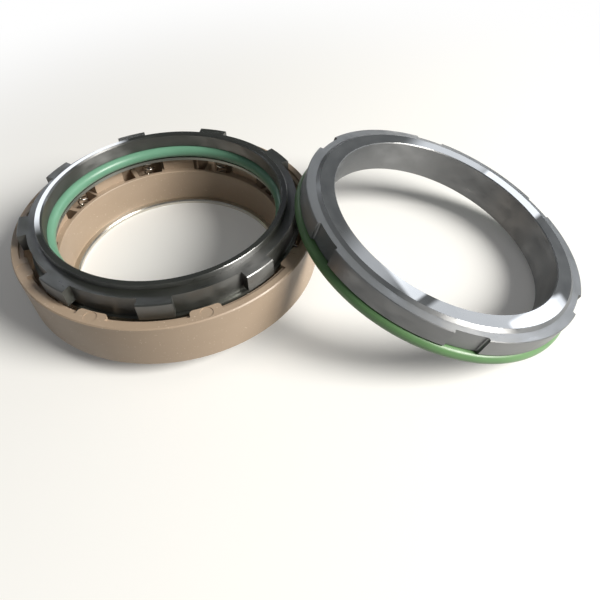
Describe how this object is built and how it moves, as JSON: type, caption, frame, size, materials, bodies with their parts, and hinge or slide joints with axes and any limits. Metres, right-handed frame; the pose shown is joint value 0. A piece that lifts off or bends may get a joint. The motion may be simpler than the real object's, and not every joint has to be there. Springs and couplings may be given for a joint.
{
  "type": "mechanical seal",
  "caption": "Multi-spring mechanical seal: a sprung rotating head with a silicon carbide seal ring, and its notched stationary seat with O-ring leaning against the head.",
  "frame": {"origin": "shaft axis of the rotating head, in the plane that the head stands on", "axes": "+Z along the head's shaft axis, from its foot to its running face; +X across the head towards the side on which the stationary seat lies"},
  "size_m": [0.2617, 0.1478, 0.055],
  "materials": {
    "brown_plastic": "matt moulded glass-filled plastic",
    "dark_silicon_carbide": "ground satin",
    "lapped_silicon_carbide": "ground satin with a mirror-lapped face",
    "green_rubber": "satin fluoroelastomer",
    "stainless_steel": "turned and polished",
    "spring_steel": "bright drawn wire"
  },
  "bodies": {
    "retainer": {"retainer": "brown_plastic", "base_ring": "stainless_steel", "seat_ring": "lapped_silicon_carbide", "seat_o_ring": "green_rubber", "spring_01": "spring_steel", "spring_02": "spring_steel", "spring_03": "spring_steel", "spring_04": "spring_steel", "spring_05": "spring_steel", "spring_06": "spring_steel", "spring_07": "spring_steel", "spring_08": "spring_steel", "spring_09": "spring_steel"},
    "seal_ring": {"seal_ring": "dark_silicon_carbide", "head_o_ring": "green_rubber", "thrust_ring": "stainless_steel"}
  },
  "joints": [
    {"name": "seal_ring_slide", "type": "slide", "parent": "retainer", "child": "seal_ring", "axis": [0, 0, 1], "range_m": [-0.002, 0], "stiffness_N_per_m": 60000, "deforming": ["spring_01", "spring_02", "spring_03", "spring_04", "spring_05", "spring_06", "spring_07", "spring_08", "spring_09"]}
  ]
}
